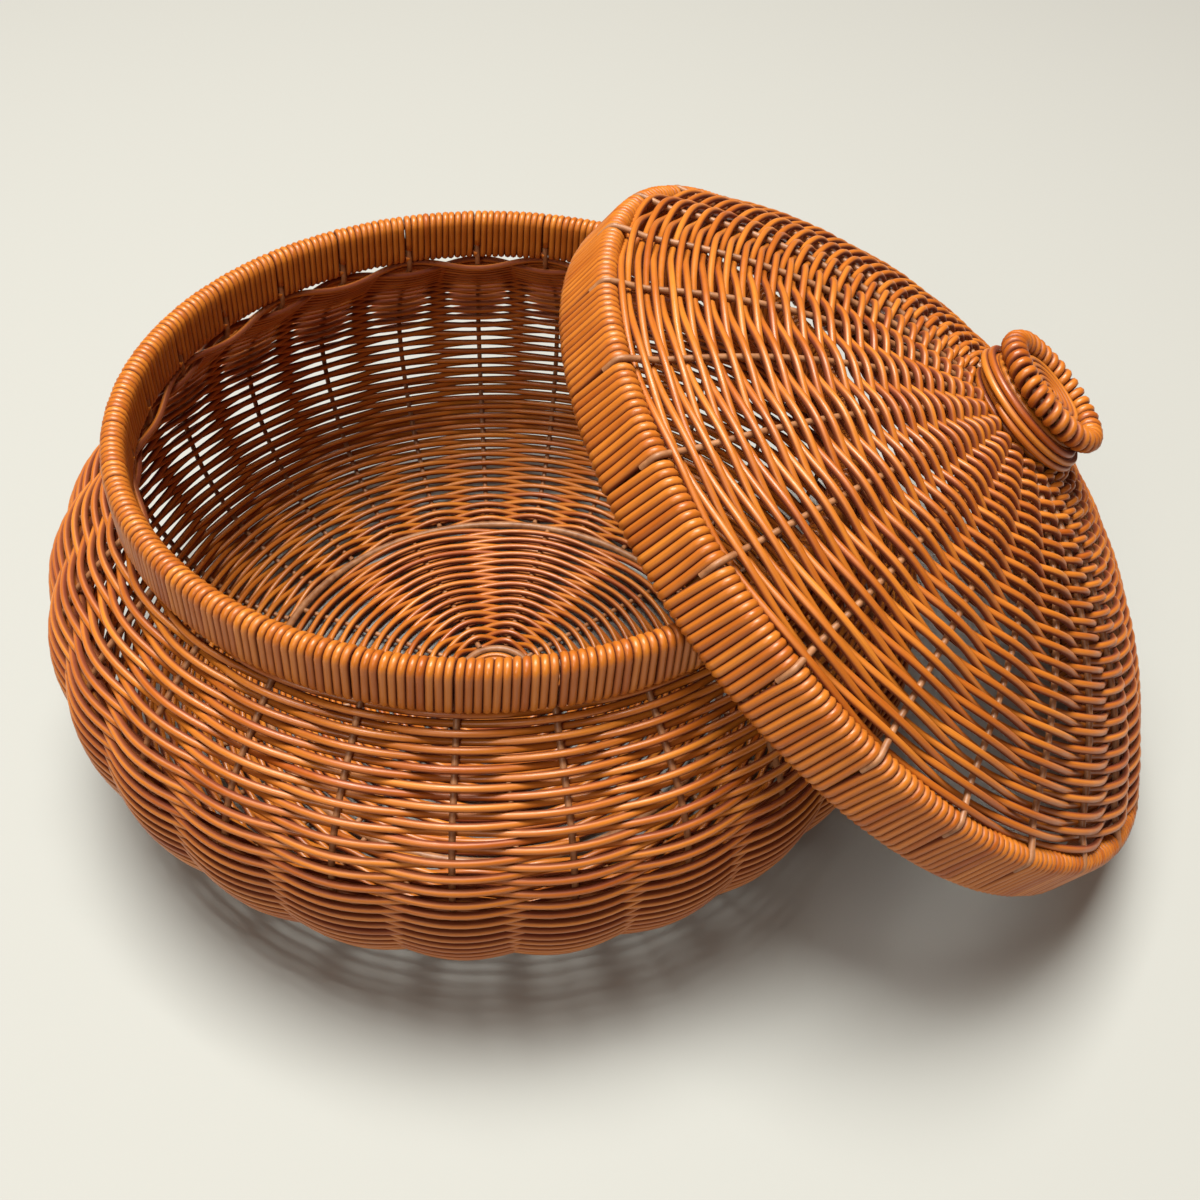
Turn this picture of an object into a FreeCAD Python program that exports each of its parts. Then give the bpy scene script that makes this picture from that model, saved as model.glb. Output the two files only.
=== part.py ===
import FreeCAD, Part
import math
import os
from types import SimpleNamespace
from FreeCAD import Vector

doc = FreeCAD.newDocument("egg_basket")

# Driving dimensions, in millimetres, degrees and counts.
SIZES = (
    # Wires and strands
    ("stake_count", "27"),
    ("stake_turn", "4.3"),
    ("stake_dia", "2.4"),
    ("strand_dia", "3"),
    ("hoop_dia", "3.6"),
    ("wrap_dia", "2.1"),
    # Clearances
    ("fit_gap", "0.3"),
    ("lean_gap", "0.6"),
    ("floor_gap", "0.2"),
    # Basket wall, measured on its outside
    ("foot_radius", "108"),
    ("belly_radius", "183"),
    ("belly_height", "80"),
    ("neck_step", "1"),
    ("neck_slope_share", "1.45"),
    ("stake_bend", "8"),
    # Basket base
    ("spoke_count", "9"),
    ("base_ring_radius", "16"),
    # Basket rim
    ("rim_radius", "141"),
    ("rim_top", "166.5"),
    ("rim_band", "23"),
    ("rim_width", "9.5"),
    ("rim_loops", "11"),
    # Lid dome, measured on its outside above the lid's lower edge
    ("lid_spoke_count", "25"),
    ("lid_spoke_turn", "11.4"),
    ("lid_clearance", "8"),
    ("lid_band", "28"),
    ("lid_loops", "12"),
    ("dome_step", "1.5"),
    ("dome_mid_radius_share", "0.574"),
    ("dome_mid_height_share", "0.71"),
    ("crown_radius", "24"),
    ("crown_height", "87"),
    ("lid_lean", "40"),
    ("hook_start", "60"),
    ("hook_reach", "13"),
    ("hook_drop", "5"),
    # Knob
    ("collar_radius", "27"),
    ("collar_turns", "2"),
    ("collar_step_in", "0.5"),
    ("collar_step_up", "3.42"),
    ("knob_radius", "23"),
    ("knob_wire_dia", "2.4"),
    ("knob_strand_dia", "2.6"),
    ("knob_height", "101.3"),
    ("knob_loops", "24"),
    ("knob_open_angle", "14"),
    ("eye_radius", "16"),
    ("eye_turns", "2.75"),
    ("eye_step_in", "4.2"),
)

sheet = doc.addObject("Spreadsheet::Sheet", "sizes")
for row, (alias, text) in enumerate(SIZES, 1):
    sheet.set(f"A{row}", text)
    sheet.setAlias(f"A{row}", alias)
doc.recompute()
dim = SimpleNamespace(**{alias: float(sheet.get(alias)) for alias, text in SIZES})

AXIS = Vector(0, 0, 1)
ORIGIN = Vector(0, 0, 0)
WALL_STAKES = (int(dim.stake_count), dim.stake_turn)
LID_SPOKES = (int(dim.lid_spoke_count), dim.lid_spoke_turn)

# Strands pass in front of and behind each stake, so the wall is two strands and a stake thick.
wall = 2 * dim.strand_dia + dim.stake_dia
WALL = "2 * sizes.strand_dia + sizes.stake_dia"
half_width = dim.rim_width / 2

# The lid goes over the rim, so its hoops follow the rim's.
lid_radius = dim.rim_radius + dim.rim_width + dim.lid_clearance
LID_RADIUS = "sizes.rim_radius + sizes.rim_width + sizes.lid_clearance"


# Shapes

def rz(radius, height):
    """Point of a radial outline."""
    return Vector(radius, 0, height)


def polar(radius, turn, height):
    """Point at a turn in radians about the upright axis."""
    return Vector(radius * math.cos(turn), radius * math.sin(turn), height)


def arc_point(arc, degrees, inset):
    """Point of an arc (centre, radius) at an angle, set in from the outside."""
    centre, radius = arc
    turn = math.radians(degrees)
    reach = radius - inset
    return centre + Vector(reach * math.cos(turn), 0, reach * math.sin(turn))


def arc_edge(arc, start, end, inset):
    """Edge along an arc (centre, radius) between two angles, set in from the outside."""
    points = [arc_point(arc, degrees, inset) for degrees in (start, (start + end) / 2, end)]
    return Part.Arc(*points).toShape()


def tangent_arc(start, corner, end):
    """Arc between two points whose tangents meet at a corner equally far from both."""
    middle = (start + end) / 2
    rise = corner - middle
    half_chord = (end - start).Length / 2
    if rise.Length < half_chord * 1e-6:
        return Part.makeLine(start, end)
    bend = math.atan2(rise.Length, half_chord)
    crest = middle + rise.normalize() * (half_chord * math.tan(bend / 2))
    return Part.Arc(start, crest, end).toShape()


def biarc(start, start_way, end, end_way):
    """Two tangent arcs between two points with unit directions."""
    span = end - start
    ways = start_way + end_way
    along = span.dot(ways)
    turn = 2 * (1 - start_way.dot(end_way))
    if turn < 1e-9:
        leg = span.dot(span) / (4 * span.dot(end_way))
    else:
        leg = (math.sqrt(along * along + turn * span.dot(span)) - along) / turn
    near = start + start_way * leg
    far = end - end_way * leg
    joint = (near + far) / 2
    return [tangent_arc(start, near, joint), tangent_arc(joint, far, end)]


def tube(edges, start, way, diameter):
    """Round bar along joined edges."""
    profile = Part.Wire(Part.Circle(start, way, diameter / 2).toShape())
    return Part.Wire(edges).makePipeShell([profile], True, False)


def wound_tube(nodes, diameter, name):
    """One unbroken strand through points with unit directions, its ends straight for one diameter."""
    first, first_way = nodes[0]
    last, last_way = nodes[-1]
    tip = first - first_way * diameter
    edges = [Part.makeLine(tip, first)]
    for (start, start_way), (end, end_way) in zip(nodes, nodes[1:]):
        edges += biarc(start, start_way, end, end_way)
    edges.append(Part.makeLine(last, last + last_way * diameter))
    print(f"{name}: least gap to itself {least_gap(edges) - diameter:.2f} mm")
    return tube(edges, tip, first_way, diameter)


def least_gap(edges, loop_edges=8, samples=6):
    """Least distance between the middle lines of different loops, on points."""
    points = []
    for edge in edges:
        points += edge.discretize(Number=samples + 1)[:-1]
    apart = loop_edges * samples
    return min(
        (points[i] - points[j]).Length
        for i in range(len(points))
        for j in range(i + apart // 2, min(i + 2 * apart, len(points)))
    )


def round_winding(radius, height, half_wide, half_high, turns, span, start):
    """Points and directions of a strand wound about a ring, a quarter turn apart, from below."""
    nodes = []
    lead = radius * span / turns / (4 * (half_wide + half_high))
    for quarter in range(int(4 * turns) + 1):
        turn = start + span * quarter / (4 * turns)
        out = (0, 1, 0, -1)[quarter % 4]
        up = (-1, 0, 1, 0)[quarter % 4]
        way = polar(-up, turn, out) + Vector(-math.sin(turn), math.cos(turn), 0) * lead
        nodes.append((polar(radius + out * half_wide, turn, height + up * half_high), way.normalize()))
    return nodes


def spiral_winding(radius, height, step_in, step_up, turns):
    """Points and directions of a strand that winds inwards and upwards, a quarter turn apart."""
    nodes = []
    for quarter in range(int(4 * turns) + 1):
        turn = quarter * math.pi / 2
        reach = radius - step_in * quarter / 4
        way = polar(-step_in, turn, step_up) + polar(2 * math.pi * reach, turn + math.pi / 2, 0)
        nodes.append((polar(reach, turn, height + step_up * quarter / 4), way.normalize()))
    return nodes


def around(shape, frame):
    """Copies of a shape, one for each wire of a frame (count, turn of the first wire)."""
    count, first_turn = frame
    copies = []
    for index in range(count):
        copy = shape.copy()
        copy.rotate(ORIGIN, AXIS, first_turn + index * 360 / count)
        copies.append(copy)
    return Part.makeCompound(copies)


def panels(edges, frame):
    """Closed panels of weave between the wires of a frame, from one radial outline."""
    step = 360 / frame[0]
    outline = Part.Wire(Part.__sortEdges__(edges))
    panel = Part.Face(outline).revolve(ORIGIN, AXIS, step)
    box = outline.BoundBox
    slot = dim.stake_dia + 2 * dim.fit_gap
    corner = Vector(0, -slot / 2, box.ZMin - wall)
    first_slot = Part.makeBox(box.XMax + wall, slot, box.ZLength + 2 * wall, corner)
    next_slot = first_slot.copy()
    next_slot.rotate(ORIGIN, AXIS, step)
    return around(panel.cut(Part.makeCompound([first_slot, next_slot])).Solids[0], frame)


def arc_band(arc, start, end):
    """Outline of a band of weave along one arc, with a fit gap to its neighbours."""
    trim = math.degrees(dim.fit_gap / 2 / (arc[1] - wall))
    start, end = start + trim, end - trim
    outside = arc_edge(arc, start, end, 0)
    inside = arc_edge(arc, end, start, wall)
    return [
        outside,
        Part.makeLine(arc_point(arc, end, 0), arc_point(arc, end, wall)),
        inside,
        Part.makeLine(arc_point(arc, start, wall), arc_point(arc, start, 0)),
    ]


# Document objects

nodes_made = []
lid_place = None


def keep(item, label, on_lid=False):
    """Name a sub-part, and set it on the leaning lid where it belongs there."""
    item.Label = label
    if on_lid:
        item.Placement = lid_place.multiply(item.Placement)
    nodes_made.append(item)
    return item


def feature(shape, label, on_lid=False):
    """Sub-part whose bent or wound shape is made directly."""
    item = doc.addObject("Part::Feature", label)
    item.Shape = shape
    return keep(item, label, on_lid)


def hoop(label, ring_radius, wire_radius, height, on_lid=False):
    """Closed ring of wire, its sizes bound to the sheet."""
    ring = doc.addObject("Part::Torus", label)
    ring.setExpression("Radius1", ring_radius)
    ring.setExpression("Radius2", wire_radius)
    ring.Placement.Base.z = height
    return keep(ring, label, on_lid)


# Outline of the basket wall: foot and flank arcs with equal tangents from the level foot to the
# upright belly, then a shoulder arc and a straight neck.
side_run = dim.belly_radius - dim.foot_radius
side_sum = side_run + dim.belly_height
side_leg = (math.sqrt(side_sum ** 2 + 2 * (side_run ** 2 + dim.belly_height ** 2)) - side_sum) / 2
foot_turn = math.atan2(dim.belly_height - side_leg, side_run - side_leg)
foot_bend = side_leg / math.tan(foot_turn / 2)
flank_bend = side_leg / math.tan((math.pi / 2 - foot_turn) / 2)
foot_end = math.degrees(foot_turn) - 90
foot_mid = math.degrees(foot_turn) / 2 - 90

neck_height = dim.rim_top - dim.rim_band - dim.fit_gap
neck_radius = dim.rim_radius + dim.neck_step
neck_in = dim.belly_radius - neck_radius
neck_up = neck_height - dim.belly_height
neck_slope = math.degrees(math.atan2(neck_in, neck_up)) * dim.neck_slope_share
neck_sin = math.sin(math.radians(neck_slope))
neck_cos = math.cos(math.radians(neck_slope))
shoulder_bend = (neck_up * neck_sin - neck_in * neck_cos) / (1 - neck_cos)

foot_arc = (rz(dim.foot_radius, foot_bend), foot_bend)
flank_arc = (rz(dim.belly_radius - flank_bend, dim.belly_height), flank_bend)
shoulder_arc = (rz(dim.belly_radius - shoulder_bend, dim.belly_height), shoulder_bend)


def neck_point(inset, height):
    """Point of the straight neck at a height, set in from the outside."""
    start = arc_point(shoulder_arc, neck_slope, inset)
    return rz(start.x - (height - start.z) * neck_sin / neck_cos, height)


def neck_band():
    """Outline of the straight neck, cut level under the rim."""
    rise = rz(-neck_sin, neck_cos) * (dim.fit_gap / 2)
    corners = [
        arc_point(shoulder_arc, neck_slope, 0) + rise,
        neck_point(0, neck_height),
        neck_point(wall, neck_height),
        arc_point(shoulder_arc, neck_slope, wall) + rise,
    ]
    return [Part.makeLine(start, end) for start, end in zip(corners, corners[1:] + corners[:1])]


feature(panels(arc_band(foot_arc, -90, foot_mid), WALL_STAKES), "foot_weave")
feature(panels(arc_band(foot_arc, foot_mid, foot_end), WALL_STAKES), "lower_weave")
feature(panels(arc_band(flank_arc, foot_end, 0), WALL_STAKES), "belly_weave")
feature(panels(arc_band(shoulder_arc, 0, neck_slope), WALL_STAKES), "shoulder_weave")
feature(panels(neck_band(), WALL_STAKES), "neck_weave")


# Stakes run in the middle of the wall, from the base hoop up past the inner side of the lower rim hoop.
def side_stake():
    """One stake of the basket wall."""
    inset = wall / 2
    lap_radius = dim.rim_radius - (dim.hoop_dia + dim.stake_dia) / 2 - dim.fit_gap
    slope_end = arc_point(shoulder_arc, neck_slope, inset)
    corner = rz(lap_radius, slope_end.z + (slope_end.x - lap_radius) * neck_cos / neck_sin)
    leg = dim.stake_bend * math.tan(math.radians(neck_slope / 2))
    bend_start = corner + rz(neck_sin, -neck_cos) * leg
    bend_end = corner + AXIS * leg
    start = arc_point(foot_arc, -90, inset)
    edges = [
        arc_edge(foot_arc, -90, foot_end, inset),
        arc_edge(flank_arc, foot_end, 0, inset),
        arc_edge(shoulder_arc, 0, neck_slope, inset),
        Part.makeLine(slope_end, bend_start),
        tangent_arc(bend_start, corner, bend_end),
        Part.makeLine(bend_end, rz(lap_radius, dim.rim_top - dim.rim_band / 2)),
    ]
    return tube(edges, start, Vector(1, 0, 0), dim.stake_dia)


feature(around(side_stake(), WALL_STAKES), "side_stakes")

# Base: a round mat of weave with a hoop round it, and spokes and a ring let into its top.
MAT_RADIUS = "sizes.foot_radius - sizes.hoop_dia - 2 * sizes.fit_gap"
hoop("base_hoop", "sizes.foot_radius - sizes.hoop_dia / 2 - sizes.fit_gap", "sizes.hoop_dia / 2", wall / 2)
hoop("base_ring", "sizes.base_ring_radius", "sizes.hoop_dia / 2", wall / 2)

mat = doc.addObject("Part::Cylinder", "mat_disc")
mat.setExpression("Radius", MAT_RADIUS)
mat.setExpression("Height", WALL)

ring_outside = doc.addObject("Part::Cylinder", "ring_groove_outside")
ring_outside.setExpression("Radius", "sizes.base_ring_radius + sizes.hoop_dia / 2 + sizes.fit_gap")
ring_outside.setExpression("Height", WALL)
ring_inside = doc.addObject("Part::Cylinder", "ring_groove_inside")
ring_inside.setExpression("Radius", "sizes.base_ring_radius - sizes.hoop_dia / 2 - sizes.fit_gap")
ring_inside.setExpression("Height", WALL)
ring_groove = doc.addObject("Part::Cut", "ring_groove")
ring_groove.Base = ring_outside
ring_groove.Tool = ring_inside
ring_groove.Placement.Base.z = wall / 2 - dim.hoop_dia / 2 - dim.fit_gap

grooves = [ring_groove]
spokes = []
for index in range(int(dim.spoke_count)):
    heading = FreeCAD.Rotation(AXIS, 360 / dim.spoke_count * index)
    groove = doc.addObject("Part::Box", "spoke_groove")
    groove.setExpression("Length", f"{MAT_RADIUS} - sizes.base_ring_radius")
    groove.setExpression("Width", "sizes.stake_dia + 2 * sizes.fit_gap")
    groove.setExpression("Height", WALL)
    corner = Vector(
        dim.base_ring_radius,
        -dim.stake_dia / 2 - dim.fit_gap,
        wall / 2 - dim.stake_dia / 2 - dim.fit_gap,
    )
    groove.Placement = FreeCAD.Placement(heading.multVec(corner), heading)
    grooves.append(groove)
    spoke = doc.addObject("Part::Cylinder", "base_spoke")
    spoke.setExpression("Radius", "sizes.stake_dia / 2")
    spoke.setExpression(
        "Height", f"{MAT_RADIUS} - sizes.base_ring_radius - sizes.hoop_dia / 2 - sizes.fit_gap"
    )
    inner_end = Vector(dim.base_ring_radius + dim.hoop_dia / 2 + dim.fit_gap, 0, wall / 2)
    lying = FreeCAD.Rotation(AXIS, Vector(1, 0, 0))
    spoke.Placement = FreeCAD.Placement(heading.multVec(inner_end), heading.multiply(lying))
    spokes.append(spoke)

all_grooves = doc.addObject("Part::MultiFuse", "all_grooves")
all_grooves.Shapes = grooves
base_weave = doc.addObject("Part::Cut", "base_weave")
base_weave.Base = mat
base_weave.Tool = all_grooves
keep(base_weave, "base_weave")
base_spokes = doc.addObject("Part::Compound", "base_spokes")
base_spokes.Links = spokes
keep(base_spokes, "base_spokes")


# Rim: two hoops, bound between the stakes by a strand wound round both.
def bound_edge(radius, foot, band, loops, frame, name):
    """Windings of one strand about two hoops, one winding between each two wires of a frame."""
    step = 2 * math.pi / frame[0]
    turns = loops - 0.5
    span = step - (dim.stake_dia + 2 * dim.fit_gap + dim.wrap_dia) / radius
    half_wide = (dim.rim_width - dim.wrap_dia) / 2
    half_high = (band - dim.wrap_dia) / 2
    start = (step - span) / 2
    nodes = round_winding(radius, foot + band / 2, half_wide, half_high, turns, span, start)
    return feature(around(wound_tube(nodes, dim.wrap_dia, name), frame), name, frame is LID_SPOKES)


hoop_seat = dim.wrap_dia + dim.fit_gap + dim.hoop_dia / 2
rim_foot = dim.rim_top - dim.rim_band
hoop("rim_lower_hoop", "sizes.rim_radius", "sizes.hoop_dia / 2", rim_foot + hoop_seat)
hoop("rim_upper_hoop", "sizes.rim_radius", "sizes.hoop_dia / 2", dim.rim_top - hoop_seat)
bound_edge(dim.rim_radius, rim_foot, dim.rim_band, dim.rim_loops, WALL_STAKES, "rim_wrap")


# Lid, leaning on the rim at two points with its lower edge near the floor.
lean = math.radians(dim.lid_lean)
lid_up = Vector(math.sin(lean), 0, math.cos(lean))
lid_down_slope = Vector(math.cos(lean), 0, -math.sin(lean))


def edge_distance(ring_centre, samples=720):
    """Least distance between the middle of the lid's lower edge and that of the rim's top."""
    least = None
    for index in range(samples):
        turn = 2 * math.pi * index / samples
        side = Vector(0, lid_radius * math.sin(turn), 0)
        point = ring_centre + lid_down_slope * (lid_radius * math.cos(turn)) + side
        away = math.hypot(math.hypot(point.x, point.y) - dim.rim_radius, point.z - dim.rim_top + half_width)
        least = away if least is None else min(least, away)
    return least


def leaning_place():
    """Place of the lid where its edge just clears the rim."""
    height = lid_radius * math.sin(lean) + half_width + dim.floor_gap
    near, far = dim.rim_radius, 2 * dim.rim_radius
    while far - near > dim.fit_gap / 100:
        reach = (near + far) / 2
        if edge_distance(Vector(reach, 0, height)) < dim.rim_width + dim.lean_gap:
            near = reach
        else:
            far = reach
    base = Vector(far, 0, height) - lid_up * half_width
    return FreeCAD.Placement(base, FreeCAD.Rotation(Vector(0, 1, 0), dim.lid_lean))


lid_place = leaning_place()
print(f"lid stands at {lid_place.Base.x:.2f}, {lid_place.Base.z:.2f} mm")

# Outline of the dome: one arc through the crown, the middle and the edge.
crown = rz(dim.crown_radius, dim.crown_height)
dome_edge = rz(lid_radius + dim.dome_step, dim.lid_band + dim.fit_gap)
dome_rise = dim.crown_height - dome_edge.z
dome_mid = rz(lid_radius * dim.dome_mid_radius_share, dome_edge.z + dome_rise * dim.dome_mid_height_share)
dome_curve = Part.Arc(crown, dome_mid, dome_edge).toShape().Curve
dome_arc = (dome_curve.Center, dome_curve.Radius)


def dome_angle(radius, inset):
    """Angle on the dome's arc at a radius from the lid's axis."""
    return math.degrees(math.acos((radius - dome_arc[0].x) / (dome_arc[1] - inset)))


def dome_foot_angle(inset):
    """Angle on the dome's arc at the top of the lid's band."""
    return math.degrees(math.asin((dome_edge.z - dome_arc[0].z) / (dome_arc[1] - inset)))


edge_angle = dome_foot_angle(wall)
crown_angle = dome_angle(dim.crown_radius + dim.fit_gap, wall)
crown_share = 0.68
middle_share = 0.36
crown_cut = edge_angle + (crown_angle - edge_angle) * crown_share
middle_cut = edge_angle + (crown_angle - edge_angle) * middle_share


def dome_edge_band():
    """Outline of the lowest band of the dome, cut level on the lid's band."""
    trim = math.degrees(dim.fit_gap / 2 / (dome_arc[1] - wall))
    end = middle_cut - trim
    outer_start, inner_start = dome_foot_angle(0), dome_foot_angle(wall)
    return [
        arc_edge(dome_arc, outer_start, end, 0),
        Part.makeLine(arc_point(dome_arc, end, 0), arc_point(dome_arc, end, wall)),
        arc_edge(dome_arc, end, inner_start, wall),
        Part.makeLine(arc_point(dome_arc, inner_start, wall), arc_point(dome_arc, outer_start, 0)),
    ]


feature(panels(dome_edge_band(), LID_SPOKES), "lid_edge_weave", True)
feature(panels(arc_band(dome_arc, middle_cut, crown_cut), LID_SPOKES), "lid_middle_weave", True)
feature(panels(arc_band(dome_arc, crown_cut, crown_angle), LID_SPOKES), "lid_crown_weave", True)


def lid_spoke():
    """One spoke of the lid, from the crown plug down the dome and over the upper hoop."""
    inset = wall / 2
    upper_hoop = rz(lid_radius, dim.lid_band - hoop_seat)
    hook = (upper_hoop, (dim.hoop_dia + dim.stake_dia) / 2 + dim.fit_gap)
    start_angle = dome_angle(dim.crown_radius + 2 * dim.fit_gap, inset)
    end_angle = dome_angle(lid_radius - dim.hook_reach, inset)
    dome_end = arc_point(dome_arc, end_angle, inset)
    start = arc_point(dome_arc, start_angle, inset)
    hook_top = arc_point(hook, dim.hook_start, 0)
    hook_end = arc_point(hook, 0, 0)

    def way(degrees):
        """Direction down an arc at an angle."""
        turn = math.radians(degrees)
        return rz(math.sin(turn), -math.cos(turn))

    edges = [arc_edge(dome_arc, start_angle, end_angle, inset)]
    edges += biarc(dome_end, way(end_angle), hook_top, way(dim.hook_start))
    edges.append(arc_edge(hook, dim.hook_start, 0, 0))
    edges.append(Part.makeLine(hook_end, hook_end - AXIS * dim.hook_drop))
    return tube(edges, start, way(start_angle), dim.stake_dia)


feature(around(lid_spoke(), LID_SPOKES), "lid_spokes", True)
hoop("lid_lower_hoop", LID_RADIUS, "sizes.hoop_dia / 2", hoop_seat, True)
hoop("lid_upper_hoop", LID_RADIUS, "sizes.hoop_dia / 2", dim.lid_band - hoop_seat, True)
bound_edge(lid_radius, 0, dim.lid_band, dim.lid_loops, LID_SPOKES, "lid_rim_wrap")

# Knob: a plug in the crown, a coil round its neck, a bound ring above and a spiral in the ring.
knob_minor = (dim.knob_wire_dia + dim.knob_strand_dia) / 2 + dim.fit_gap
knob_foot = dim.knob_height - knob_minor - dim.knob_strand_dia / 2
eye_height = dim.knob_height - dim.knob_wire_dia / 2
plug_foot = dim.crown_height - wall


def plug_step(name, radius, top):
    """Round step of the crown plug, up to a height."""
    step = doc.addObject("Part::Cylinder", name)
    step.setExpression("Radius", radius)
    step.Height = top - plug_foot
    step.Placement.Base.z = plug_foot
    return step


plug = doc.addObject("Part::Fuse", "crown_plug")
plug.Base = plug_step("plug_neck", "sizes.crown_radius", knob_foot - dim.fit_gap)
plug.Tool = plug_step("plug_top", "sizes.eye_radius", eye_height - dim.strand_dia / 2 - dim.fit_gap)
keep(plug, "crown_plug", True)

collar_seat = arc_point(dome_arc, dome_angle(dim.collar_radius, 0), 0)
collar_foot = collar_seat.z + dim.strand_dia / 2 + dim.fit_gap
collar = spiral_winding(
    dim.collar_radius, collar_foot, dim.collar_step_in, dim.collar_step_up, dim.collar_turns
)
feature(wound_tube(collar, dim.strand_dia, "collar_coil"), "collar_coil", True)
hoop("knob_ring", "sizes.knob_radius", "sizes.knob_wire_dia / 2", dim.knob_height, True)
knob_span = math.radians(360 - dim.knob_open_angle)
knob = round_winding(
    dim.knob_radius, dim.knob_height, knob_minor, knob_minor, dim.knob_loops - 0.5, knob_span, 0
)
feature(wound_tube(knob, dim.knob_strand_dia, "knob_wrap"), "knob_wrap", True)
eye = spiral_winding(dim.eye_radius, eye_height, dim.eye_step_in, 0, dim.eye_turns)
feature(wound_tube(eye, dim.strand_dia, "knob_eye"), "knob_eye", True)

# Check and write every sub-part.
doc.recompute()
faults = [item.Name for item in doc.Objects if {"Invalid", "Error"} & set(item.State)]
faults += [item.Label for item in nodes_made if item.Shape.isNull() or not item.Shape.isValid()]
if faults:
    raise RuntimeError("not valid: " + ", ".join(faults))
os.makedirs("parts", exist_ok=True)
for item in nodes_made:
    item.Shape.exportStep(os.path.join("parts", item.Label + ".step"))
    print(f"{item.Label}: {len(item.Shape.Solids)} solids, {item.Shape.Volume:.0f} mm3")
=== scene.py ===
import logging
import math
from dataclasses import dataclass, field
from enum import Enum, IntEnum
from typing import Callable

import bpy
import numpy as np
from mathutils import Matrix, Vector


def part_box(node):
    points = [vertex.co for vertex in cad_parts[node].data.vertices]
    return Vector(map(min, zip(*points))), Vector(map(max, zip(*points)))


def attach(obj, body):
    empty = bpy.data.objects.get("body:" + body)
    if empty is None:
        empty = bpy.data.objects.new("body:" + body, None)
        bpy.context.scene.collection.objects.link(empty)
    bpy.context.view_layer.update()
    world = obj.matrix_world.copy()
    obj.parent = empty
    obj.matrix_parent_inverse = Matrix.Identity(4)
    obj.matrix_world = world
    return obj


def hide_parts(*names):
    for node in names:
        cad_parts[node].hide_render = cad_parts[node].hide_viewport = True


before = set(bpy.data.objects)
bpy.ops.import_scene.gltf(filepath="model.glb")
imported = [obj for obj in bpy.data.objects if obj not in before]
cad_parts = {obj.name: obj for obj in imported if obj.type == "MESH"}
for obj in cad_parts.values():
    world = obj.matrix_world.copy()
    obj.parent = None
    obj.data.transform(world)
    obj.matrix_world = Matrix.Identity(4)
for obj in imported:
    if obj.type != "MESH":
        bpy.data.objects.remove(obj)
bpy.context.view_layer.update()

Array = np.ndarray
Socket = bpy.types.NodeSocket
log = logging.getLogger("egg_basket")

IMAGE_PIXELS = 1200
SENSOR_WIDTH_MM = 36.0
FULL_TURN = 2 * math.pi
WAVES = 7
WAVE_RATE_SHARES = (0.35, 1.65)
WAVE_DAMPING = 1.6
NOISE_LOW, NOISE_HIGH = 0.3, 0.7
FACING_UP_SHARE = 0.999


class Body(str, Enum):
    """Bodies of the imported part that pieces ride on."""

    BASKET = "basket"
    LID = "lid"


class Slot(str, Enum):
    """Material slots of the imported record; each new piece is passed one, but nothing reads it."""

    WEAVE = "weave_strand"
    EDGE = "edge_strand"
    KNOB = "knob_strand"


class Seed(IntEnum):
    """Seeds of the small unevenness of each piece."""

    WALL = 11
    BASE_ROWS = 31
    BASE_TINT = 32
    BASE_EYE = 33
    DOME = 51
    PLUG = 71
    COLLAR = 72
    KNOB_EYE = 73
    KNOB = 81
    RIM = 100
    LID_EDGE = 300


# Strand geometry

@dataclass(frozen=True)
class Run:
    """Middle line of a strand: points, directions that face away from what carries it, and a tint.

    Attributes:
        points: Middle line in metres, one row for each point.
        facing: Directions that the section's first corner turns towards, one for each point.
        tint: Share from 0, dark, to 1, light, one for each point.
    """

    points: Array
    facing: Array
    tint: Array


def unit(vectors: Array) -> Array:
    """Each row divided by its length."""
    return vectors / np.linalg.norm(vectors, axis=-1, keepdims=True)


def wander(places: Array, seed: int, quickness: float) -> Array:
    """Smooth seeded noise about zero, near one in size: a sum of sines of unrelated lengths.

    Args:
        places: Where along the strand the noise is wanted.
        seed: Seed of the draw.
        quickness: How many swings there are to a unit of place.

    Returns:
        One value for each place.
    """
    draw = np.random.default_rng(seed)
    rates = quickness * draw.uniform(*WAVE_RATE_SHARES, WAVES)
    starts = draw.uniform(0, FULL_TURN, WAVES)
    swings = np.sin(FULL_TURN * np.outer(np.asarray(places), rates) + starts)
    return swings.sum(axis=1) / math.sqrt(WAVES / 2) / WAVE_DAMPING


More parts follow.
